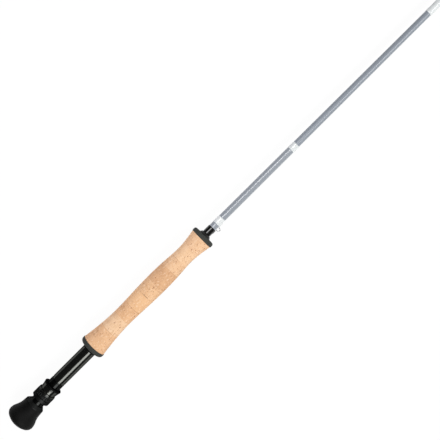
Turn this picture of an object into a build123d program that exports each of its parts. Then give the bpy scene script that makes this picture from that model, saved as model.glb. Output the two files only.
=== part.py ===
from build123d import *
from math import atan2, cos, sin
import os

# Handle section of a fly rod. X runs along the rod from the butt to the tip, with 0 at the
# middle of the cork grip. The reel hangs on the -Z side and the hook keeper faces -Y.
# All sizes are in millimetres.

# Clearances
glue_gap = 0.05
slide_gap = 0.2
nut_play = 0.15

# Cork grip: rings in a stack, from the butt forwards, turned to a full-wells outline
ring_1_length = 26.2
ring_2_length = 20.95
ring_3_length = 18.1
ring_4_length = 20.5
ring_5_length = 18.1
ring_6_length = 24.25
ring_7_length = 15.85
ring_8_length = 18.3
ring_9_length = 18.65
grip_rear_radius = 15.7
grip_shoulder_radius = 14.25
grip_waist_radius = 11.65
grip_belly_radius = 12.5
grip_swell_radius = 13.1
grip_taper_radius = 12.2
grip_neck_radius = 11.3
grip_flare_radius = 12.9
grip_front_radius = 14.6

# Where the outline has those radii, as shares of the grip's length from its rear end
shoulder_share = 0.06
waist_share = 0.265
belly_share = 0.42
swell_share = 0.655
taper_share = 0.75
neck_share = 0.843
flare_share = 0.945

# Blank: tapered hollow tube
blank_butt_radius = 5.15
blank_tip_radius = 4.06
blank_wall = 1.0

# Windings and finish above the grip, in order from the grip
lower_wrap_length = 10.4
lower_wrap_thickness = 0.6
keeper_span = 6.6
keeper_wrap_length = 9.8
keeper_wrap_thickness = 0.5
label_length = 115.8
label_thickness = 0.15
upper_wrap_length = 9.5
upper_wrap_thickness = 0.35
bare_length = 223.0
ferrule_wrap_length = 20.0
ferrule_wrap_thickness = 0.35
wrap_ramp = 0.8

# Ferrule spigot, glued into the blank's upper end
spigot_glued_length = 40.0
spigot_free_length = 44.0
spigot_step = 0.2
spigot_chamfer = 0.8

# Hook keeper: bent wire with two flattened feet under the windings
keeper_wire_radius = 0.4
keeper_width = 4.2
keeper_reach = 9.3
keeper_foot_length = 5.5
keeper_foot_width = 1.4
keeper_foot_thickness = 0.3
keeper_mound_radius = 1.6

# Trim at the two ends of the cork
cap_radius = 15.2
cap_length = 5.4
cap_rim_round = 2.6
cap_rear_bevel = 0.4
check_base_radius = 8.0
check_tip_radius = 5.5
check_length = 3.0
check_bulge = 0.2
rear_ring_radius = 16.3
rear_ring_length = 6.2
rear_ring_round = 3.6
rear_ring_bevel = 0.7

# Reel seat barrel
barrel_radius = 8.8
barrel_wall = 1.5
barrel_socket_depth = 18.0
thread_length = 38.1
thread_depth = 0.3

# Fixed hood: cup on the barrel, with its mouth towards the butt
fixed_hood_reach = 0.6
fixed_hood_depth = 16.0
fixed_hood_floor = 2.2
hood_wall = 0.85
foot_height = 2.3
fixed_hood_mouth_round = 0.35

# Sliding hood, slip ring and lock nut, run up against a reel foot of middle size
foot_gap = 62.5
sliding_hood_length = 10.6
sliding_hood_sleeve = 3.0
hood_heel_radius = 11.5
hood_heel_length = 1.15
hood_heel_bevel = 0.3
hood_neck_radius = 10.4
hood_flare_rise = 0.14
hood_rim_overhang = 0.1
hood_rim_length = 1.5
slip_ring_length = 2.1
slip_ring_step = 0.1
slip_ring_bevel = 0.2
nut_length = 9.8
nut_radius = 11.9
nut_rear_round = 0.9
nut_rib_length = 4.6
nut_rib_count = 30
nut_rib_groove_radius = 0.7
nut_rib_groove_depth = 0.45
nut_band_groove_depth = 0.5
nut_band_groove_width = 0.7
nut_to_collar = 5.4

# Butt: collar plate, fighting butt and the stud inside
collar_radius = 12.9
collar_land = 0.8
collar_cone = 3.6
butt_length = 31.6
butt_top_radius = 12.95
butt_neck_radius = 14.0
butt_neck_from_top = 9.1
butt_flank_radius = 15.6
butt_flank_from_top = 13.8
butt_bulb_radius = 17.9
butt_dome_length = 9.9
butt_corner_radius = 6.4
stud_plug_length = 14.0
stud_tenon_radius = 5.5
stud_tenon_length = 20.0
stud_groove_depth = 0.7
stud_groove_width = 2.0
stud_groove_pitch = 6.0
stud_groove_count = 3

# Seat arbors: bushes between the blank and the barrel
arbor_length = 28.0

# Stations along X, chained outwards from the grip
ring_lengths = (
    ring_1_length,
    ring_2_length,
    ring_3_length,
    ring_4_length,
    ring_5_length,
    ring_6_length,
    ring_7_length,
    ring_8_length,
    ring_9_length,
)
grip_length = sum(ring_lengths)
grip_rear = -grip_length / 2
grip_front = grip_length / 2

cap_front = grip_front + cap_length
check_front = cap_front + check_length
lower_wrap_front = check_front + lower_wrap_length
keeper_wrap_rear = lower_wrap_front + keeper_span
keeper_wrap_front = keeper_wrap_rear + keeper_wrap_length
label_front = keeper_wrap_front + label_length
upper_wrap_front = label_front + upper_wrap_length
ferrule_wrap_rear = upper_wrap_front + bare_length
blank_front = ferrule_wrap_rear + ferrule_wrap_length

rear_ring_rear = grip_rear - rear_ring_length
fixed_hood_mouth = rear_ring_rear - fixed_hood_reach
fixed_hood_front = fixed_hood_mouth + fixed_hood_depth + fixed_hood_floor
barrel_front = grip_rear + barrel_socket_depth
sliding_hood_mouth = fixed_hood_mouth - foot_gap
sliding_hood_rear = sliding_hood_mouth - sliding_hood_length
slip_ring_rear = sliding_hood_rear - slip_ring_length
nut_front = slip_ring_rear - nut_play
nut_rear = nut_front - nut_length
collar_front = nut_rear - nut_to_collar
collar_rear = collar_front - collar_cone - collar_land
butt_rear = collar_rear - butt_length
stud_plug_front = collar_rear + stud_plug_length
blank_rear = stud_plug_front

# Radii that several pieces share
barrel_bore_radius = barrel_radius - barrel_wall
running_radius = barrel_radius + slide_gap
foot_pocket_radius = barrel_radius + foot_height
fixed_hood_radius = foot_pocket_radius + hood_wall
hood_rim_radius = nut_radius + hood_rim_overhang
slip_ring_radius = nut_radius - slip_ring_step
spigot_free_radius = blank_tip_radius - blank_wall - glue_gap - spigot_step


def blank_radius(x):
    """Outside radius of the tapered blank at station x."""
    share = (x - blank_rear) / (blank_front - blank_rear)
    return blank_butt_radius + share * (blank_tip_radius - blank_butt_radius)


# The keeper stands in the middle of the gap between its two windings
keeper_rear_leg = (lower_wrap_front + keeper_wrap_rear - keeper_width) / 2
keeper_front_leg = keeper_rear_leg + keeper_width
keeper_rear_toe = keeper_rear_leg - keeper_foot_length
keeper_front_toe = keeper_front_leg + keeper_foot_length
keeper_seat = blank_radius(keeper_rear_toe) + glue_gap


def turned(*edges):
    """Solid turned about the rod's axis from a closed half outline in X and radius."""
    return revolve(make_face(edges), Axis.X)


def turned_from(*points):
    """Solid turned from a closed half outline of straight lines."""
    return turned(Polyline(*points, close=True))


def on_blank(rear, front, thickness, ramp):
    """Sleeve that follows the blank's taper, with its two ends ramped down."""
    seat_rear = blank_radius(rear) + glue_gap
    seat_front = blank_radius(front) + glue_gap
    return turned_from(
        (rear, seat_rear),
        (rear, seat_rear + thickness / 3),
        (rear + ramp, blank_radius(rear + ramp) + glue_gap + thickness),
        (front - ramp, blank_radius(front - ramp) + glue_gap + thickness),
        (front, seat_front + thickness / 3),
        (front, seat_front),
    )


def make_blank():
    return turned_from(
        (blank_rear, blank_butt_radius - blank_wall),
        (blank_rear, blank_butt_radius),
        (blank_front, blank_tip_radius),
        (blank_front, blank_tip_radius - blank_wall),
    )


def make_spigot():
    """Plug that fits the blank's tapered bore, stepped down where the next section slides on."""
    rear = blank_front - spigot_glued_length
    front = blank_front + spigot_free_length
    inset = blank_wall + glue_gap
    return turned_from(
        (rear, 0),
        (rear, blank_radius(rear) - inset),
        (blank_front, blank_tip_radius - inset),
        (blank_front, spigot_free_radius),
        (front - spigot_chamfer, spigot_free_radius),
        (front, spigot_free_radius - spigot_chamfer),
        (front, 0),
    )


def grip_outline():
    """Full-wells curve: flared rear, narrow waist, palm swell, narrow neck, flared front."""
    stations = (
        (0.0, grip_rear_radius),
        (shoulder_share, grip_shoulder_radius),
        (waist_share, grip_waist_radius),
        (belly_share, grip_belly_radius),
        (swell_share, grip_swell_radius),
        (taper_share, grip_taper_radius),
        (neck_share, grip_neck_radius),
        (flare_share, grip_flare_radius),
        (1.0, grip_front_radius),
    )
    return Spline(*[(grip_rear + share * grip_length, radius) for share, radius in stations])


def grip_core():
    """What the cork is reamed for: the fixed hood, the barrel's end and the blank."""
    blank_seat_rear = blank_radius(barrel_front) + glue_gap
    blank_seat_front = blank_radius(grip_front) + glue_gap
    return turned_from(
        (grip_rear, 0),
        (grip_rear, fixed_hood_radius + glue_gap),
        (fixed_hood_front, fixed_hood_radius + glue_gap),
        (fixed_hood_front, barrel_radius + glue_gap),
        (barrel_front, barrel_radius + glue_gap),
        (barrel_front, blank_seat_rear),
        (grip_front, blank_seat_front),
        (grip_front, 0),
    )


def make_cork_rings():
    outline = grip_outline()
    ends = Polyline(
        (grip_front, grip_front_radius),
        (grip_front, 0),
        (grip_rear, 0),
        (grip_rear, grip_rear_radius),
    )
    cork = turned(outline, ends) - grip_core()
    width = 4 * max(grip_rear_radius, grip_swell_radius, grip_front_radius)
    rings = {}
    rear = grip_rear
    for number, length in enumerate(ring_lengths, start=1):
        slab = Pos(rear + length / 2, 0, 0) * Box(length, width, width)
        rings[f"cork_ring_{number}"] = cork & slab
        rear += length
    return rings


def make_front_cap():
    bore_rear = blank_radius(grip_front) + glue_gap
    bore_front = blank_radius(cap_front) + glue_gap
    outline = Polyline(
        (cap_front - cap_rim_round, cap_radius),
        (grip_front + cap_rear_bevel, cap_radius),
        (grip_front, cap_radius - cap_rear_bevel),
        (grip_front, bore_rear),
        (cap_front, bore_front),
        (cap_front, cap_radius - cap_rim_round),
    )
    rim = RadiusArc(
        (cap_front - cap_rim_round, cap_radius),
        (cap_front, cap_radius - cap_rim_round),
        cap_rim_round,
    )
    return turned(outline, rim)


def make_winding_check():
    bore_rear = blank_radius(cap_front) + glue_gap
    bore_front = blank_radius(check_front) + glue_gap
    sides = Polyline(
        (check_front, check_tip_radius),
        (check_front, bore_front),
        (cap_front, bore_rear),
        (cap_front, check_base_radius),
    )
    dome = SagittaArc(
        (cap_front, check_base_radius),
        (check_front, check_tip_radius),
        check_bulge,
    )
    return turned(sides, dome)


def make_rear_ring():
    bore = fixed_hood_radius + glue_gap
    outline = Polyline(
        (rear_ring_rear, rear_ring_radius - rear_ring_round),
        (rear_ring_rear, bore),
        (grip_rear, bore),
        (grip_rear, rear_ring_radius - rear_ring_bevel),
        (grip_rear - rear_ring_bevel, rear_ring_radius),
        (rear_ring_rear + rear_ring_round, rear_ring_radius),
    )
    rim = RadiusArc(
        (rear_ring_rear, rear_ring_radius - rear_ring_round),
        (rear_ring_rear + rear_ring_round, rear_ring_radius),
        rear_ring_round,
    )
    return turned(outline, rim)


def make_fixed_hood():
    """Cup round the barrel: its rim sticks out of the rear ring and its floor is glued down."""
    seat = barrel_radius + glue_gap
    floor = fixed_hood_mouth + fixed_hood_depth
    mouth = fixed_hood_mouth + fixed_hood_mouth_round
    return turned_from(
        (fixed_hood_mouth, foot_pocket_radius + fixed_hood_mouth_round),
        (fixed_hood_mouth, fixed_hood_radius - fixed_hood_mouth_round),
        (mouth, fixed_hood_radius),
        (fixed_hood_front, fixed_hood_radius),
        (fixed_hood_front, seat),
        (floor, seat),
        (floor, foot_pocket_radius),
        (mouth, foot_pocket_radius),
    )


def make_barrel():
    """Tube whose lower stretch is turned down to the root of its thread."""
    root = barrel_radius - thread_depth
    thread_front = collar_front + thread_length
    return turned_from(
        (collar_rear, barrel_bore_radius),
        (collar_rear, barrel_radius),
        (collar_front, barrel_radius),
        (collar_front + thread_depth, root),
        (thread_front - thread_depth, root),
        (thread_front, barrel_radius),
        (barrel_front, barrel_radius),
        (barrel_front, barrel_bore_radius),
    )


def make_sliding_hood():
    """Flared cup: a flange, a sleeve that runs on the barrel, and a thin bell mouth."""
    heel = sliding_hood_rear
    neck = heel + hood_heel_length
    rim = sliding_hood_mouth - hood_rim_length
    sleeve = heel + sliding_hood_sleeve
    cup_floor_radius = hood_neck_radius - hood_wall
    cup_mouth_radius = hood_rim_radius - hood_wall
    flange = Polyline(
        (heel, hood_heel_radius),
        (neck - hood_heel_bevel, hood_heel_radius),
        (neck, hood_neck_radius),
    )
    flare = TangentArc((neck, hood_neck_radius), (rim, hood_rim_radius), tangent=(1, hood_flare_rise))
    edge = ThreePointArc(
        (rim, hood_rim_radius),
        (sliding_hood_mouth - hood_rim_length / 6, hood_rim_radius - hood_wall / 4),
        (sliding_hood_mouth, cup_mouth_radius + hood_wall / 4),
    )
    inside = Polyline(
        (sliding_hood_mouth, cup_mouth_radius + hood_wall / 4),
        (sliding_hood_mouth, cup_mouth_radius),
        (sleeve, cup_floor_radius),
        (sleeve, running_radius),
        (heel, running_radius),
        (heel, hood_heel_radius),
    )
    return turned(flange, flare, edge, inside)


def make_slip_ring():
    front = sliding_hood_rear
    return turned_from(
        (slip_ring_rear, running_radius),
        (slip_ring_rear, slip_ring_radius - slip_ring_bevel),
        (slip_ring_rear + slip_ring_bevel, slip_ring_radius),
        (front - slip_ring_bevel, slip_ring_radius),
        (front, slip_ring_radius - slip_ring_bevel),
        (front, running_radius),
    )


def make_lock_nut():
    """Ring nut with a plain band, a parting groove and a ribbed band for the fingers."""
    rib_rear = nut_front - nut_rib_length
    outline = Polyline(
        (nut_rear + nut_rear_round, nut_radius),
        (rib_rear - nut_band_groove_width, nut_radius),
        (rib_rear - nut_band_groove_width / 2, nut_radius - nut_band_groove_depth),
        (rib_rear, nut_radius),
        (nut_front, nut_radius),
        (nut_front, running_radius),
        (nut_rear, running_radius),
        (nut_rear, nut_radius - nut_rear_round),
    )
    corner = RadiusArc(
        (nut_rear, nut_radius - nut_rear_round),
        (nut_rear + nut_rear_round, nut_radius),
        nut_rear_round,
    )
    groove = Cylinder(nut_rib_groove_radius, 2 * nut_rib_length, rotation=(0, 90, 0))
    groove_level = nut_radius + nut_rib_groove_radius - nut_rib_groove_depth
    grooves = [
        Rot(X=index * 360 / nut_rib_count) * Pos(nut_front, 0, groove_level) * groove
        for index in range(nut_rib_count)
    ]
    return turned(outline, corner) - grooves


def make_collar():
    seat = barrel_radius + glue_gap
    return turned_from(
        (collar_rear, seat),
        (collar_rear, collar_radius),
        (collar_rear + collar_land, collar_radius),
        (collar_front, seat + collar_land),
        (collar_front, seat),
    )


def make_fighting_butt():
    """Foam-rubber bulb: crowned end, round corner, wide bulb, hollow neck up to the collar."""
    bulb = butt_rear + butt_dome_length
    neck = collar_rear - butt_neck_from_top
    bore = stud_tenon_radius + glue_gap
    bore_floor = collar_rear - stud_tenon_length - glue_gap
    corner_level = butt_bulb_radius - butt_corner_radius
    # The crown is the arc from the axis that runs smoothly into the corner's arc
    crown_radius = (butt_dome_length**2 + corner_level**2 - butt_corner_radius**2) / (
        2 * (butt_dome_length - butt_corner_radius)
    )
    lean = atan2(corner_level, crown_radius - butt_dome_length)
    join = (butt_rear + crown_radius * (1 - cos(lean)), crown_radius * sin(lean))
    crown = RadiusArc((butt_rear, 0), join, crown_radius)
    corner = RadiusArc(join, (bulb, butt_bulb_radius), butt_corner_radius)
    flank = Spline(
        (bulb, butt_bulb_radius),
        (collar_rear - butt_flank_from_top, butt_flank_radius),
        (neck, butt_neck_radius),
        (collar_rear, butt_top_radius),
        tangents=((1, 0), (butt_neck_from_top, butt_top_radius - butt_neck_radius)),
    )
    inside = Polyline(
        (collar_rear, butt_top_radius),
        (collar_rear, bore),
        (bore_floor, bore),
        (bore_floor, 0),
        (butt_rear, 0),
    )
    return turned(crown, corner, flank, inside)


def make_stud():
    """Plug in the barrel's end, with a grooved tenon that the foam rubber grips."""
    plug = barrel_bore_radius - glue_gap
    rear = collar_rear - stud_tenon_length
    body = turned_from(
        (rear, 0),
        (rear, stud_tenon_radius),
        (collar_rear, stud_tenon_radius),
        (collar_rear, plug),
        (stud_plug_front, plug),
        (stud_plug_front, 0),
    )
    groove_floor = stud_tenon_radius - stud_groove_depth
    for index in range(stud_groove_count):
        start = rear + stud_groove_width + index * stud_groove_pitch
        body -= turned_from(
            (start, groove_floor),
            (start, stud_tenon_radius + stud_groove_depth),
            (start + stud_groove_width, stud_tenon_radius + stud_groove_depth),
            (start + stud_groove_width, groove_floor),
        )
    return body


def make_arbor(rear):
    front = rear + arbor_length
    outside = barrel_bore_radius - glue_gap
    return turned_from(
        (rear, blank_radius(rear) + glue_gap),
        (rear, outside),
        (front, outside),
        (front, blank_radius(front) + glue_gap),
    )


def keeper_foot(rear, front, grow):
    """Flattened foot of the keeper on the blank's -Y side, or its slot when grown."""
    thickness = keeper_foot_thickness + 2 * grow
    level = keeper_seat + keeper_foot_thickness / 2
    foot = Box(front - rear + 2 * grow, thickness, keeper_foot_width + 2 * grow)
    return Pos((rear + front) / 2, -level, 0) * foot


def make_keeper():
    """Wire loop on two flattened feet, one towards the grip and one towards the tip."""
    bend = keeper_width / 2
    foot_level = keeper_seat + keeper_foot_thickness / 2
    loop_level = keeper_reach - keeper_wire_radius - bend
    rear_leg = Line((keeper_rear_leg, -foot_level), (keeper_rear_leg, -loop_level))
    loop = ThreePointArc(
        (keeper_rear_leg, -loop_level),
        (keeper_rear_leg + bend, -loop_level - bend),
        (keeper_front_leg, -loop_level),
    )
    front_leg = Line((keeper_front_leg, -loop_level), (keeper_front_leg, -foot_level))
    start = Plane((keeper_rear_leg, -foot_level, 0), z_dir=(0, -1, 0))
    wire = sweep(start * Circle(keeper_wire_radius), Wire([rear_leg, loop, front_leg]))
    rear_foot = keeper_foot(keeper_rear_toe, keeper_rear_leg, 0)
    front_foot = keeper_foot(keeper_front_leg, keeper_front_toe, 0)
    return wire + rear_foot + front_foot


def make_foot_wrap(rear, front, thickness, foot_rear, foot_front):
    """Winding over one foot of the keeper, with the mound that the foot raises in it."""
    mound_rear = max(rear, foot_rear)
    mound_front = min(front, foot_front)
    blind_end = foot_rear if foot_rear > rear else foot_front
    mound_top = keeper_seat + keeper_foot_thickness + glue_gap + thickness
    mound_level = mound_top - keeper_mound_radius
    ridge = Cylinder(keeper_mound_radius, mound_front - mound_rear, rotation=(0, 90, 0))
    mound = Pos((mound_rear + mound_front) / 2, -mound_level, 0) * ridge
    mound += Pos(blind_end, -mound_level, 0) * Sphere(keeper_mound_radius)
    core = turned_from(
        (check_front, 0),
        (check_front, blank_radius(check_front) + glue_gap),
        (label_front, blank_radius(label_front) + glue_gap),
        (label_front, 0),
    )
    slot = keeper_foot(foot_rear, foot_front, glue_gap)
    return on_blank(rear, front, thickness, wrap_ramp) + mound - core - slot


def export(name, shape):
    export_step(shape, os.path.join("parts", f"{name}.step"))


def main():
    os.makedirs("parts", exist_ok=True)
    pieces = {
        "fighting_butt": make_fighting_butt(),
        "butt_collar": make_collar(),
        "butt_stud": make_stud(),
        "seat_barrel": make_barrel(),
        "seat_arbor_lower": make_arbor(blank_rear + glue_gap),
        "seat_arbor_upper": make_arbor(barrel_front - arbor_length),
        "lock_nut": make_lock_nut(),
        "slip_ring": make_slip_ring(),
        "sliding_hood": make_sliding_hood(),
        "fixed_hood": make_fixed_hood(),
        "rear_trim_ring": make_rear_ring(),
        **make_cork_rings(),
        "front_trim_cap": make_front_cap(),
        "winding_check": make_winding_check(),
        "blank": make_blank(),
        "lower_wrap": make_foot_wrap(
            check_front, lower_wrap_front, lower_wrap_thickness, keeper_rear_toe, keeper_rear_leg
        ),
        "hook_keeper": make_keeper(),
        "keeper_wrap": make_foot_wrap(
            keeper_wrap_rear, keeper_wrap_front, keeper_wrap_thickness, keeper_front_leg, keeper_front_toe
        ),
        "label_sleeve": on_blank(keeper_wrap_front, label_front, label_thickness, wrap_ramp),
        "upper_wrap": on_blank(label_front, upper_wrap_front, upper_wrap_thickness, wrap_ramp),
        "ferrule_wrap": on_blank(ferrule_wrap_rear, blank_front, ferrule_wrap_thickness, wrap_ramp),
        "ferrule_spigot": make_spigot(),
    }
    for name, shape in pieces.items():
        export(name, shape)


main()
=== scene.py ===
import bpy
from math import pi, radians
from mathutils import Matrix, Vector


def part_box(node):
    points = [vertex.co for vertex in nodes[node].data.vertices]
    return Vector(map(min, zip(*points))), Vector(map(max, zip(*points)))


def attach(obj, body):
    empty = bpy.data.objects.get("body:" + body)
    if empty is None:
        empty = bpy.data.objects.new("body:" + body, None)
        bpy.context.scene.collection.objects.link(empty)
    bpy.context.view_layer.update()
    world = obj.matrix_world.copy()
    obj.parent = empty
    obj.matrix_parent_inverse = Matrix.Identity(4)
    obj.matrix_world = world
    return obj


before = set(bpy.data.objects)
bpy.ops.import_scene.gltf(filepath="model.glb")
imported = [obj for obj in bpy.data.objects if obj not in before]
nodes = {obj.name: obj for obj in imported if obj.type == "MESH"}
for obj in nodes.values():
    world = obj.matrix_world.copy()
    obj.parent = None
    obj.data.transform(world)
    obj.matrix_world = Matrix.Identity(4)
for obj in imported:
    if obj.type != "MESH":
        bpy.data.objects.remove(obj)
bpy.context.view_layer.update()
bpy.context.scene.view_settings.view_transform = "Standard"

# The scene is in metres
MM = 0.001

# Points nearer to each other than this are one point
TOUCH = 0.001 * MM

# Radii at which the patterns on round pieces are unrolled
CORK_RADIUS = 12.5 * MM
WINDING_RADIUS = 4.8 * MM
BLANK_RADIUS = 4.4 * MM

# Sockets of a mix node for colours, whose names its other forms use too
FACTOR, UNDER, OVER, MIXED = 0, 6, 7, 2

# Scale of a wave texture times the pitch of its bands
WAVE = 2 * pi / 20

WHITE = "#FFFFFF"


# Colour and node helpers

def paint(code):
    """sRGB hex colour as linear RGBA."""
    values = [int(code[i:i + 2], 16) / 255 for i in (1, 3, 5)]
    return [v / 12.92 if v <= 0.04045 else ((v + 0.055) / 1.055) ** 2.4 for v in values] + [1.0]


def add(tree, kind, inputs=(), give=0, **settings):
    """One node with its settings. Inputs are set to values or linked to sockets; one output comes back."""
    item = tree.nodes.new(kind)
    for name, value in settings.items():
        setattr(item, name, value)
    for name, value in dict(inputs).items():
        if isinstance(value, bpy.types.NodeSocket):
            tree.links.new(value, item.inputs[name])
        else:
            item.inputs[name].default_value = value
    return item.outputs[give]


def start_material(name):
    """A new material, its node tree and its shader."""
    material = bpy.data.materials.new(name)
    material.use_nodes = True
    tree = material.node_tree
    return material, tree, tree.nodes["Principled BSDF"]


def dress(material, *names):
    """Give the named CAD nodes one material."""
    for name in names:
        slots = nodes[name].data.materials
        slots.clear()
        slots.append(material)


def unrolled(tree, radius):
    """Object coordinates unrolled from the rod: metres along it, and metres round it at a set radius."""
    place = add(tree, "ShaderNodeTexCoord", give="Object")
    along = add(tree, "ShaderNodeSeparateXYZ", {0: place})
    y, z = along.node.outputs["Y"], along.node.outputs["Z"]
    angle = add(tree, "ShaderNodeMath", {0: y, 1: z}, operation="ARCTAN2")
    arc = add(tree, "ShaderNodeMath", {0: angle, 1: radius}, operation="MULTIPLY")
    return along, arc, add(tree, "ShaderNodeCombineXYZ", {0: along, 1: arc})


def background_rays(tree):
    """1 for rays that look at the background: the camera's, and those off gloss and through glass."""
    rays = add(tree, "ShaderNodeLightPath", give="Is Camera Ray").node.outputs
    seen = add(tree, "ShaderNodeMath", {0: rays["Is Camera Ray"], 1: rays["Is Glossy Ray"]},
               operation="MAXIMUM")
    return add(tree, "ShaderNodeMath", {0: seen, 1: rays["Is Transmission Ray"]}, operation="MAXIMUM")


# Cork

def cork_clouds(tree, place, body, shade):
    """Two tones in clouds about 9 mm across."""
    clouds = add(tree, "ShaderNodeTexNoise",
                 {"Vector": place, "Scale": 110, "Detail": 3.0, "Roughness": 0.55})
    cloudy = add(tree, "ShaderNodeMapRange", {"Value": clouds, "From Min": 0.32, "From Max": 0.68},
                 interpolation_type="SMOOTHSTEP")
    return add(tree, "ShaderNodeMix", {FACTOR: cloudy, UNDER: paint(shade), OVER: paint(body)}, MIXED,
               data_type="RGBA")


def cork_bands(tree, tone, place):
    """Growth bands about 1.5 mm wide that run far round the rod. Gives the tone and their height."""
    band_place = add(tree, "ShaderNodeMapping", {"Vector": place, "Scale": (1, 0.08, 1)})
    bands = add(tree, "ShaderNodeTexNoise", {"Vector": band_place, "Scale": 650, "Detail": 2.0})
    banded = add(tree, "ShaderNodeMapRange",
                 {"Value": bands, "From Min": 0.45, "From Max": 0.75, "To Max": 0.22},
                 interpolation_type="SMOOTHSTEP")
    tone = add(tree, "ShaderNodeMix", {FACTOR: banded, UNDER: tone, OVER: paint("#C99C72")}, MIXED,
               data_type="RGBA")
    return tone, bands


def cork_pores(tree, tone, place, groups, pitted):
    """Brown pores and specks with cream flecks between them. Gives the tone and the pores' depth."""
    # Pores about 1 x 2 mm, torn and gathered in groups
    grouped = add(tree, "ShaderNodeMapRange", {"Value": groups, "From Min": 0.40, "From Max": 0.62})
    pore_place = add(tree, "ShaderNodeMapping", {"Vector": place, "Scale": (0.6, 1, 1)})
    torn = add(tree, "ShaderNodeTexNoise",
               {"Vector": pore_place, "Scale": 520, "Detail": 2.5, "Roughness": 0.6})
    open_from = 0.635 - 0.05 * pitted
    pores = add(tree, "ShaderNodeMapRange",
                {"Value": torn, "From Min": open_from, "From Max": open_from + 0.05},
                interpolation_type="SMOOTHSTEP")
    pores = add(tree, "ShaderNodeMath", {0: pores, 1: grouped}, operation="MULTIPLY")
    # Fine specks about 0.6 mm across
    grit = add(tree, "ShaderNodeTexNoise", {"Vector": place, "Scale": 1600, "Detail": 1.0})
    specks = add(tree, "ShaderNodeMapRange",
                 {"Value": grit, "From Min": 0.58, "From Max": 0.70, "To Max": 0.5},
                 interpolation_type="SMOOTHSTEP")
    pores = add(tree, "ShaderNodeMath", {0: pores, 1: specks}, operation="MAXIMUM")
    pore_share = add(tree, "ShaderNodeMath", {0: pores, 1: 0.9}, operation="MULTIPLY")
    tone = add(tree, "ShaderNodeMix", {FACTOR: pore_share, UNDER: tone, OVER: paint("#925A46")}, MIXED,
               data_type="RGBA")
    cream = add(tree, "ShaderNodeMapRange",
                {"Value": torn, "From Min": 0.44, "From Max": 0.33, "To Max": 0.5},
                interpolation_type="SMOOTHSTEP")
    tone = add(tree, "ShaderNodeMix", {FACTOR: cream, UNDER: tone, OVER: paint("#F8DFC2")}, MIXED,
               data_type="RGBA")
    return tone, pores


def glue_line(tree, tone, along, front, groups):
    """The ring's last half millimetre, darkened and broken up."""
    to_end = add(tree, "ShaderNodeMath", {0: front, 1: along}, operation="SUBTRACT")
    line = add(tree, "ShaderNodeMapRange",
               {"Value": to_end, "From Min": 0.8 * MM, "From Max": 0.2 * MM, "To Max": 0.45})
    broken = add(tree, "ShaderNodeMapRange", {"Value": groups, "From Min": 0.45, "From Max": 0.60})
    line = add(tree, "ShaderNodeMath", {0: line, 1: broken}, operation="MULTIPLY")
    return add(tree, "ShaderNodeMix", {FACTOR: line, UNDER: tone, OVER: paint("#9C6C48")}, MIXED,
               data_type="RGBA")


def filled_crack(tree, tone, along, arc, rear, ends):
    """A filled crack beside the ring's rear joint, between two places round the ring."""
    fade = 1.0 * MM
    strength = 0.6
    start, stop = ends
    from_end = add(tree, "ShaderNodeMath", {0: along, 1: rear}, operation="SUBTRACT")
    gap = add(tree, "ShaderNodeMapRange",
              {"Value": from_end, "From Min": 1.2 * MM, "From Max": 0.6 * MM})
    after = add(tree, "ShaderNodeMapRange", {"Value": arc, "From Min": start, "From Max": start + fade})
    before = add(tree, "ShaderNodeMapRange", {"Value": arc, "From Min": stop, "From Max": stop - fade})
    for limit in (after, before, strength):
        gap = add(tree, "ShaderNodeMath", {0: gap, 1: limit}, operation="MULTIPLY")
    return add(tree, "ShaderNodeMix", {FACTOR: gap, UNDER: tone, OVER: paint("#7C5236")}, MIXED,
               data_type="RGBA")


def cork_material(index, body, shade, pitted, crack):
    """Natural cork, cut in rings, glued in a stack, turned and sanded.

    Gives the eye a warm matte tan, cloudy inside a ring and different from ring to ring, with fine
    growth bands round the rod, short brown pores, and thin broken glue lines between the rings.
    """
    material, tree, shader = start_material(f"natural_cork_{index}")
    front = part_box(f"cork_ring_{index}")[1][0]
    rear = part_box(f"cork_ring_{index}")[0][0]
    along, arc, skin = unrolled(tree, CORK_RADIUS)
    # Each ring shows its own stretch of the pattern
    place = add(tree, "ShaderNodeMapping", {"Vector": skin, "Location": (0.37 * index, 0.74 * index, 0)})
    # Pores and glue gather in groups about 15 mm across
    groups = add(tree, "ShaderNodeTexNoise", {"Vector": place, "Scale": 75, "Detail": 1.0})
    tone = cork_clouds(tree, place, body, shade)
    tone, bands = cork_bands(tree, tone, place)
    tone, pores = cork_pores(tree, tone, place, groups, pitted)
    tone = glue_line(tree, tone, along, front, groups)
    if crack:
        tone = filled_crack(tree, tone, along, arc, rear, crack)
    tree.links.new(tone, shader.inputs["Base Color"])
    height = add(tree, "ShaderNodeMath", {0: bands, 1: pores}, operation="SUBTRACT")
    bump = add(tree, "ShaderNodeBump", {"Height": height, "Strength": 0.35, "Distance": 0.3 * MM})
    tree.links.new(bump, shader.inputs["Normal"])
    shader.inputs["Roughness"].default_value = 0.85
    shader.inputs["Specular IOR Level"].default_value = 0.2
    return material


# The other materials

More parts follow.
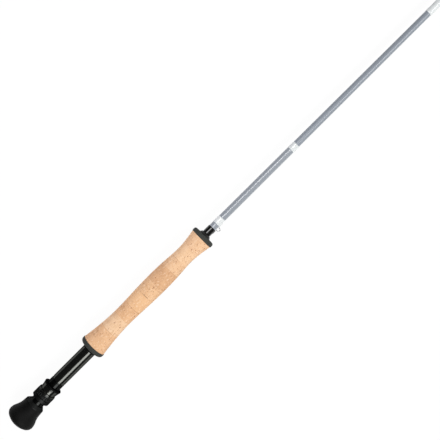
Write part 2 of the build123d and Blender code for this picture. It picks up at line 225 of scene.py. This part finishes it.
def anodised_material(name, colour, worn, edge, roughness, ring_pitch, shade_from=None):
    """Aluminium, turned on a lathe, polished and anodised.

    Gives the eye a deep metal with one clean bright line, faintly crossed by turning rings.
    The rings are drawn far coarser than real ones so that they show. From the station
    in the last argument forwards the metal is made rough, and its colour is painted near black as painted
    shade.
    """
    material, tree, shader = start_material(name)
    place = add(tree, "ShaderNodeTexCoord", give="Object")
    rings = add(tree, "ShaderNodeTexWave",
                {"Vector": place, "Scale": WAVE / ring_pitch, "Distortion": 0.6, "Detail": 1.0},
                bands_direction="X", give="Fac")
    wear = add(tree, "ShaderNodeTexNoise", {"Vector": place, "Scale": 160, "Detail": 2.0})
    spread = add(tree, "ShaderNodeMapRange", {"Value": wear, "From Min": 0.3, "From Max": 0.7,
                                              "To Min": roughness * 0.92, "To Max": roughness * 1.08})
    tone = add(tree, "ShaderNodeMix", {FACTOR: wear, UNDER: paint(colour), OVER: paint(worn)}, MIXED,
               data_type="RGBA")
    if shade_from is not None:
        fade = 0.4 * MM
        along = add(tree, "ShaderNodeSeparateXYZ", {0: place})
        shaded = add(tree, "ShaderNodeMapRange",
                   {"Value": along, "From Min": shade_from, "From Max": shade_from + fade})
        spread = add(tree, "ShaderNodeMapRange", {"Value": shaded, "To Min": spread, "To Max": 0.5})
        # Painted shade: past the station the colour goes to near black
        tone = add(tree, "ShaderNodeMix", {FACTOR: shaded, UNDER: tone, OVER: paint("#161616")}, MIXED,
                   data_type="RGBA")
    tree.links.new(spread, shader.inputs["Roughness"])
    tree.links.new(tone, shader.inputs["Base Color"])
    bump = add(tree, "ShaderNodeBump", {"Height": rings, "Strength": 0.03, "Distance": 0.03 * MM})
    tree.links.new(bump, shader.inputs["Normal"])
    shader.inputs["Metallic"].default_value = 0.92
    shader.inputs["Specular Tint"].default_value = paint(edge)
    return material


def rubber_material(name, colour, light, roughness, grit, gloss):
    """Foamed or filled rubber, moulded and left matte.

    Gives the eye a soft black or grey with a fine open grain and no clear reflections.
    """
    material, tree, shader = start_material(name)
    place = add(tree, "ShaderNodeTexCoord", give="Object")
    grain = add(tree, "ShaderNodeTexNoise",
                {"Vector": place, "Scale": 1 / grit, "Detail": 4.0, "Roughness": 0.6})
    cells = add(tree, "ShaderNodeTexVoronoi", {"Vector": place, "Scale": 0.8 / grit})
    share = add(tree, "ShaderNodeMapRange", {"Value": grain, "From Min": 0.38, "From Max": 0.68})
    tone = add(tree, "ShaderNodeMix", {FACTOR: share, UNDER: paint(colour), OVER: paint(light)}, MIXED,
               data_type="RGBA")
    tree.links.new(tone, shader.inputs["Base Color"])
    height = add(tree, "ShaderNodeMath", {0: grain, 1: cells}, operation="ADD")
    bump = add(tree, "ShaderNodeBump", {"Height": height, "Strength": 0.3, "Distance": grit * 0.2})
    tree.links.new(bump, shader.inputs["Normal"])
    shader.inputs["Roughness"].default_value = roughness
    shader.inputs["Specular IOR Level"].default_value = gloss
    return material


def thread_material(name, colour, seam, gloss):
    """Nylon winding thread under a clear epoxy coat.

    Gives the eye a clean band of colour, faintly ringed by its turns, under a wet gloss.
    Real thread is 0.15 mm thick; the turns are drawn 0.6 mm wide so that they show.
    """
    turn_width = 0.6 * MM
    material, tree, shader = start_material(name)
    skin = unrolled(tree, WINDING_RADIUS)[2]
    turns = add(tree, "ShaderNodeTexWave",
                {"Vector": skin, "Scale": WAVE / turn_width, "Distortion": 0.5, "Detail": 1.0,
                 "Detail Scale": 2.0}, bands_direction="X", give="Fac")
    share = add(tree, "ShaderNodeMapRange",
                {"Value": turns, "From Min": 0.55, "From Max": 0.0, "To Max": 0.6},
                interpolation_type="SMOOTHSTEP")
    tone = add(tree, "ShaderNodeMix", {FACTOR: share, UNDER: paint(colour), OVER: paint(seam)}, MIXED,
               data_type="RGBA")
    tree.links.new(tone, shader.inputs["Base Color"])
    bump = add(tree, "ShaderNodeBump", {"Height": turns, "Strength": 0.1, "Distance": 0.04 * MM})
    tree.links.new(bump, shader.inputs["Normal"])
    shader.inputs["Roughness"].default_value = 0.5
    shader.inputs["Specular IOR Level"].default_value = gloss
    shader.inputs["Coat Weight"].default_value = 1.0
    shader.inputs["Coat Roughness"].default_value = 0.06
    return material


def blank_material():
    """Carbon tube, wrapped with tape, sanded and sprayed with satin grey lacquer.

    Gives the eye a cool grey with a broad soft sheen and the faint slanting marks of the tape.
    """
    tape_pitch = 3.2 * MM
    tape_slant = radians(24)
    material, tree, shader = start_material("satin_lacquered_carbon")
    skin = unrolled(tree, BLANK_RADIUS)[2]
    slant = add(tree, "ShaderNodeMapping", {"Vector": skin, "Rotation": (0, 0, tape_slant)})
    tape = add(tree, "ShaderNodeTexWave",
               {"Vector": slant, "Scale": WAVE / tape_pitch, "Distortion": 1.2, "Detail": 2.0},
               bands_direction="X", give="Fac")
    tone = add(tree, "ShaderNodeMix", {FACTOR: tape, UNDER: paint("#8A919A"), OVER: paint("#8C939C")},
               MIXED, data_type="RGBA")
    # Clouds about 8 mm across
    cloud = add(tree, "ShaderNodeTexNoise", {"Vector": skin, "Scale": 120, "Detail": 2.0})
    share = add(tree, "ShaderNodeMapRange",
                {"Value": cloud, "From Min": 0.35, "From Max": 0.7, "To Max": 0.25})
    tone = add(tree, "ShaderNodeMix", {FACTOR: share, UNDER: tone, OVER: paint("#949BA4")}, MIXED,
               data_type="RGBA")
    tree.links.new(tone, shader.inputs["Base Color"])
    bump = add(tree, "ShaderNodeBump", {"Height": tape, "Strength": 0.02, "Distance": 0.1 * MM})
    tree.links.new(bump, shader.inputs["Normal"])
    shader.inputs["Roughness"].default_value = 0.30
    return material


def clear_coat_material():
    """Thick clear epoxy over the grey lacquer.

    Gives the eye the same grey, a little deeper, under one thin mirror-sharp line.
    """
    material, tree, shader = start_material("clear_epoxy_over_lacquer")
    skin = unrolled(tree, WINDING_RADIUS)[2]
    # Lacquer fleck about 0.8 mm, and a coat that flows level over about 11 mm
    fleck = add(tree, "ShaderNodeTexNoise", {"Vector": skin, "Scale": 1300, "Detail": 2.0})
    level = add(tree, "ShaderNodeTexNoise", {"Vector": skin, "Scale": 90, "Detail": 1.0})
    share = add(tree, "ShaderNodeMapRange", {"Value": fleck, "From Min": 0.35, "From Max": 0.7})
    tone = add(tree, "ShaderNodeMix", {FACTOR: share, UNDER: paint("#90969E"), OVER: paint("#9298A0")},
               MIXED, data_type="RGBA")
    tree.links.new(tone, shader.inputs["Base Color"])
    bump = add(tree, "ShaderNodeBump", {"Height": level, "Strength": 0.003, "Distance": 0.3 * MM})
    tree.links.new(bump, shader.inputs["Coat Normal"])
    shader.inputs["Roughness"].default_value = 0.55
    shader.inputs["Coat Weight"].default_value = 1.0
    shader.inputs["Coat Roughness"].default_value = 0.08
    return material


def wire_material():
    """Stainless wire, drawn and chrome plated.

    Gives the eye a small bright mirror, faintly mottled.
    """
    material, tree, shader = start_material("chromed_steel_wire")
    place = add(tree, "ShaderNodeTexCoord", give="Object")
    drawn = add(tree, "ShaderNodeTexNoise", {"Vector": place, "Scale": 3000, "Detail": 2.0})
    tone = add(tree, "ShaderNodeMix", {FACTOR: drawn, UNDER: paint("#8E9092"), OVER: paint("#A6A8AA")},
               MIXED, data_type="RGBA")
    tree.links.new(tone, shader.inputs["Base Color"])
    shader.inputs["Metallic"].default_value = 1.0
    shader.inputs["Roughness"].default_value = 0.16
    return material


def ground_carbon_material():
    """Solid carbon rod, ground round on a belt.

    Gives the eye a dull charcoal crossed by fine grinding rings.
    """
    material, tree, shader = start_material("ground_carbon_rod")
    place = add(tree, "ShaderNodeTexCoord", give="Object")
    # Scratches about 0.4 mm along the rod and 3 mm round it
    fine = add(tree, "ShaderNodeMapping", {"Vector": place, "Scale": (2600, 300, 300)})
    scratch = add(tree, "ShaderNodeTexNoise", {"Vector": fine, "Scale": 1.0, "Detail": 3.0})
    share = add(tree, "ShaderNodeMapRange", {"Value": scratch, "From Min": 0.35, "From Max": 0.7})
    tone = add(tree, "ShaderNodeMix", {FACTOR: share, UNDER: paint("#2A2B2D"), OVER: paint("#4A4C4F")},
               MIXED, data_type="RGBA")
    tree.links.new(tone, shader.inputs["Base Color"])
    bump = add(tree, "ShaderNodeBump", {"Height": scratch, "Strength": 0.2, "Distance": 0.05 * MM})
    tree.links.new(bump, shader.inputs["Normal"])
    shader.inputs["Roughness"].default_value = 0.5
    return material


# Metals: colour, worn colour, colour at grazing angles, roughness, pitch of the turning rings
GLOSS = ("#494A47", "#4F504D", "#7A7A7A", 0.14, 1.2 * MM)
SATIN = ("#252626", "#2A2B2A", "#6A6A6A", 0.46, 1.2 * MM)
CUT = ("#272827", "#2B2C2B", "#6A6A6A", 0.26, 1.2 * MM)
BRUSHED = ("#333433", "#393A39", "#6A6A6A", 0.32, 1.2 * MM)
BARE = ("#D6D7D8", "#DEDFE0", "#FFFFFF", 0.3, 0.8 * MM)

# Painted shade: short of the fixed hood the barrel, and short of its rim the sliding hood, are made rough
# and painted near black
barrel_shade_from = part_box("fixed_hood")[0][0] - 2.2 * MM
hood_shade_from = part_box("sliding_hood")[1][0] - 2.1 * MM

gloss_black = anodised_material("black_anodised_aluminium", *GLOSS, barrel_shade_from)
hood_black = anodised_material("black_anodised_hood", *GLOSS, hood_shade_from)
satin_black = anodised_material("satin_black_anodised_aluminium", *SATIN)
thread_black = anodised_material("cut_black_anodised_aluminium", *CUT)
brushed_black = anodised_material("brushed_black_anodised_aluminium", *BRUSHED)
bare_metal = anodised_material("turned_aluminium", *BARE)

# Rubbers and fibre: colour, lighter grain, roughness, size of the grain, gloss
foam = rubber_material("black_foam_rubber", "#080808", "#0E0E0D", 0.62, 1.2 * MM, 0.12)
trim = rubber_material("dark_grey_cork_rubber", "#363835", "#414340", 0.7, 1.0 * MM, 0.15)
check_rubber = rubber_material("black_moulded_rubber", "#141413", "#1C1C1B", 0.5, 0.7 * MM, 0.3)
bush = rubber_material("fibre_bush", "#B6AA8C", "#C7BC9F", 0.8, 1.0 * MM, 0.3)

# Windings: colour, colour between the turns, gloss
black_thread = thread_material("black_nylon_thread", "#080808", "#030303", 0.12)
white_thread = thread_material("white_nylon_thread", "#E5E8E8", "#CFD3D3", 0.3)
thin_white_thread = thread_material("thin_white_nylon_thread", "#DFE3E3", "#C9CECE", 0.3)

clear_coat = clear_coat_material()

dress(foam, "fighting_butt")
dress(gloss_black, "seat_barrel")
dress(hood_black, "sliding_hood")
dress(brushed_black, "slip_ring")
dress(satin_black, "butt_collar", "lock_nut", "fixed_hood")
dress(bare_metal, "butt_stud")
dress(bush, "seat_arbor_lower", "seat_arbor_upper")
dress(trim, "rear_trim_ring", "front_trim_cap")
dress(check_rubber, "winding_check")
dress(blank_material(), "blank")
dress(ground_carbon_material(), "ferrule_spigot")
dress(clear_coat, "label_sleeve")
dress(black_thread, "lower_wrap")
dress(white_thread, "keeper_wrap")
dress(thin_white_thread, "upper_wrap", "ferrule_wrap")
dress(wire_material(), "hook_keeper")

# Cork rings from the butt forwards: body colour, cloud colour, how pitted
CORK = (
    ("#EBBE94", "#E2B48A", 0.9),
    ("#F2CCA6", "#EBC39B", 0.7),
    ("#EBBD92", "#E0B186", 0.6),
    ("#F0C396", "#EABB8E", 0.3),
    ("#EEC399", "#E5B88D", 1.0),
    ("#E2B48A", "#D8A980", 0.5),
    ("#EFC69E", "#E7BC93", 0.7),
    ("#F3CCA5", "#EDC49B", 0.7),
    ("#F1C8A1", "#E9BE96", 0.9),
)

# The one ring with a crack, and the crack's two ends round the ring
CRACKED_RING = 5
CRACK_ENDS = (-5.5 * MM, 2.2 * MM)

for number, (body, shade, pitted) in enumerate(CORK, start=1):
    crack = CRACK_ENDS if number == CRACKED_RING else None
    dress(cork_material(number, body, shade, pitted, crack), f"cork_ring_{number}")


# Pieces modelled here

def deselect():
    """Leave edit mode and select nothing."""
    if bpy.context.object and bpy.context.object.mode != "OBJECT":
        bpy.ops.object.mode_set(mode="OBJECT")
    bpy.ops.object.select_all(action="DESELECT")


def draw_line(name, points):
    """A line of edges through the points, drawn by extruding one corner."""
    deselect()
    bpy.ops.mesh.primitive_plane_add(size=MM, location=(0, 0, 0))
    piece = bpy.context.object
    piece.name = name
    bpy.ops.object.mode_set(mode="EDIT")
    bpy.ops.mesh.select_mode(type="VERT")
    bpy.ops.mesh.select_all(action="SELECT")
    bpy.ops.mesh.merge(type="CENTER")
    bpy.ops.transform.translate(value=points[0])
    for before, after in zip(points, points[1:]):
        step = [b - a for a, b in zip(before, after)]
        bpy.ops.mesh.extrude_region_move(TRANSFORM_OT_translate={"value": step})
    bpy.ops.object.mode_set(mode="OBJECT")
    return piece


def settle(piece, body, material, sharp_from):
    """Merge doubles, turn the faces outwards, smooth the shading and hand the piece to its body.

    Edges that turn by more than sharp_from degrees stay sharp.
    """
    bpy.ops.object.mode_set(mode="EDIT")
    bpy.ops.mesh.select_all(action="SELECT")
    bpy.ops.mesh.remove_doubles(threshold=TOUCH)
    bpy.ops.mesh.normals_make_consistent(inside=False)
    bpy.ops.object.mode_set(mode="OBJECT")
    bpy.ops.object.shade_smooth_by_angle(angle=radians(sharp_from))
    piece.data.materials.clear()
    piece.data.materials.append(material)
    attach(piece, body)


def close_tooth(piece, rear, front):
    """A face over the open end of the thread's tooth, which lies straight under the rod."""
    bpy.ops.object.mode_set(mode="EDIT")
    bpy.ops.mesh.select_mode(type="EDGE")
    bpy.ops.mesh.select_all(action="DESELECT")
    bpy.ops.object.mode_set(mode="OBJECT")
    corners = piece.data.vertices
    for edge in piece.data.edges:
        places = [corners[i].co for i in edge.vertices]
        under = all(abs(p.y) < TOUCH and p.z < 0 for p in places)
        edge.select = under and all(rear - TOUCH < p.x < front + TOUCH for p in places)
    bpy.ops.object.mode_set(mode="EDIT")
    bpy.ops.mesh.edge_face_add()
    bpy.ops.object.mode_set(mode="OBJECT")


def barrel_thread():
    """The screw thread on the lower barrel: one flat-topped ridge, screwed along the rod."""
    pitch = 1.5 * MM
    turns = 25
    steps = 64
    barrel_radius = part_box("seat_barrel")[1][1]
    root = barrel_radius - 0.27 * MM
    crest = barrel_radius + 0.04 * MM
    # The first turn starts inside the collar
    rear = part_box("butt_collar")[1][0] - pitch
    # The tooth in shares of the pitch and of the height
    tooth = [(0.0, 0.0), (0.26, 0.0), (0.35, 1.0), (0.65, 1.0), (0.74, 0.0), (1.0, 0.0)]
    points = [(rear + share * pitch, 0, -root - lift * (crest - root)) for share, lift in tooth]
    piece = draw_line("barrel_thread", points)
    screw = piece.modifiers.new("screw", "SCREW")
    screw.axis = "X"
    screw.angle = 2 * pi
    screw.screw_offset = pitch
    screw.iterations = turns
    screw.steps = screw.render_steps = steps
    screw.use_merge_vertices = False
    screw.use_smooth_shade = True
    bpy.ops.object.modifier_apply(modifier="screw")
    for end in (rear, rear + turns * pitch):
        close_tooth(piece, end, end + pitch)
    settle(piece, "rod", thread_black, sharp_from=30)


def gap_coat():
    """The clear coat on the blank under the keeper's loop, drawn up where it meets the two windings."""
    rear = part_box("lower_wrap")[1][0]
    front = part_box("keeper_wrap")[0][0]
    inside = 4.60 * MM
    film = 4.80 * MM
    steps = 72
    outline = [
        (rear, inside),
        (rear, film + 0.13 * MM),
        (rear + 0.50 * MM, film + 0.06 * MM),
        (rear + 1.15 * MM, film + 0.02 * MM),
        (rear + 3.25 * MM, film),
        (front - 1.15 * MM, film + 0.02 * MM),
        (front - 0.50 * MM, film + 0.06 * MM),
        (front, film + 0.10 * MM),
        (front, inside),
        (rear, inside),
    ]
    piece = draw_line("keeper_gap_coat", [(x, 0, radius) for x, radius in outline])
    bpy.ops.object.mode_set(mode="EDIT")
    bpy.ops.mesh.select_all(action="SELECT")
    bpy.ops.mesh.spin(steps=steps, angle=2 * pi, center=(0, 0, 0), axis=(1, 0, 0))
    bpy.ops.object.mode_set(mode="OBJECT")
    settle(piece, "rod", clear_coat, sharp_from=35)


barrel_thread()
gap_coat()


# Stage, lights and camera

# The stage: a round floor just under the bulb, and a round tent over it down to its hem
STAGE_MIDDLE = 0.1
FLOOR_LEVEL = -18.1 * MM
FLOOR_RADIUS = 30
TENT_RADIUS = 1.6
TENT_HEM = 0.10

# The camera looks straight down, turned so that the rod runs from corner to corner of the picture.
# Lens and sensor are in millimetres.
CAMERA_PLACE = (0.1221, 0.0001, 0.876)
CAMERA_TURN = radians(-44.84)
LENS = 59.7
SENSOR = 36


def stage_paper():
    """White paper. It looks evenly white and still takes the object's soft shadow."""
    material, tree, shader = start_material("white_stage_paper")
    tree.nodes.remove(shader)
    paper = add(tree, "ShaderNodeBsdfDiffuse", {"Color": paint("#F8F8F8")})
    thin = add(tree, "ShaderNodeBsdfDiffuse", {"Color": paint("#464646")})
    glow = add(tree, "ShaderNodeEmission", {"Color": paint(WHITE), "Strength": 0.95})
    white = add(tree, "ShaderNodeAddShader", {0: thin, 1: glow})
    both = add(tree, "ShaderNodeMixShader", {0: background_rays(tree), 1: paper, 2: white})
    tree.links.new(both, tree.nodes["Material Output"].inputs["Surface"])
    material.cycles.emission_sampling = "NONE"
    return material


def lay_floor():
    """A round white floor."""
    deselect()
    bpy.ops.mesh.primitive_circle_add(vertices=96, radius=FLOOR_RADIUS, fill_type="NGON",
                                      location=(STAGE_MIDDLE, 0, FLOOR_LEVEL))
    floor = bpy.context.object
    floor.name = "stage_floor"
    floor.data.materials.append(stage_paper())


def hang_flags():
    """Black cloth all round and overhead, so that black gloss mirrors a dark room."""
    deselect()
    bpy.ops.mesh.primitive_uv_sphere_add(segments=48, ring_count=24, radius=TENT_RADIUS,
                                         location=(STAGE_MIDDLE, 0, 0))
    tent = bpy.context.object
    tent.name = "stage_flags"
    bpy.ops.object.mode_set(mode="EDIT")
    bpy.ops.mesh.select_all(action="SELECT")
    bpy.ops.mesh.bisect(plane_co=(0, 0, TENT_HEM), plane_no=(0, 0, 1), clear_inner=True)
    bpy.ops.mesh.flip_normals()
    bpy.ops.object.mode_set(mode="OBJECT")
    material, tree, shader = start_material("black_flag_cloth")
    shader.inputs["Base Color"].default_value = paint("#2A2A2A")
    shader.inputs["Roughness"].default_value = 1.0
    shader.inputs["Specular IOR Level"].default_value = 0.0
    tent.data.materials.append(material)
    tent.visible_camera = False


def light_world():
    """White all round for the rays that look at the background, and no light of its own."""
    world = bpy.data.worlds.new("white_studio")
    world.use_nodes = True
    tree = world.node_tree
    background = tree.nodes["Background"].inputs
    background["Color"].default_value = paint(WHITE)
    tree.links.new(background_rays(tree), background["Strength"])
    bpy.context.scene.world = world


def panel(name, place, target, size, watts, colour=WHITE, gloss=True):
    """A soft light that faces its target, and that gloss mirrors or doesn't."""
    deselect()
    bpy.ops.object.light_add(type="AREA", location=place)
    lamp = bpy.context.object
    lamp.name = name
    lamp.data.shape = "RECTANGLE"
    lamp.data.size, lamp.data.size_y = size
    lamp.data.energy = watts
    lamp.data.color = paint(colour)[:3]
    lamp.visible_camera = False
    lamp.visible_glossy = gloss
    aim = lamp.location.copy()
    aim.x, aim.y, aim.z = (t - p for t, p in zip(target, place))
    lamp.rotation_euler = aim.to_track_quat("-Z", "Y").to_euler()


def set_camera():
    """The view of the photograph."""
    deselect()
    bpy.ops.object.camera_add(location=CAMERA_PLACE, rotation=(0, 0, CAMERA_TURN))
    camera = bpy.context.object
    camera.data.lens = LENS
    camera.data.sensor_width = SENSOR
    bpy.context.scene.camera = camera


light_world()
lay_floor()
hang_flags()
panel("key_over_seat", place=(-0.55, -0.475, 0.705), target=(-0.55, 0, 0), size=(0.80, 0.44), watts=6.3)
panel("key_over_blank", place=(0.68, -0.48, 0.70), target=(0.68, 0, 0), size=(0.60, 0.20), watts=5.6)
panel("box_over_label", place=(0.21, 0.13, 0.70), target=(0.21, 0, 0), size=(0.31, 0.33), watts=2.5)
panel("fill_beside_grip", place=(-0.12, 0.80, 0.17), target=(0, 0, 0), size=(0.32, 0.28), watts=2.3,
      colour="#F8F3FF", gloss=False)
set_camera()
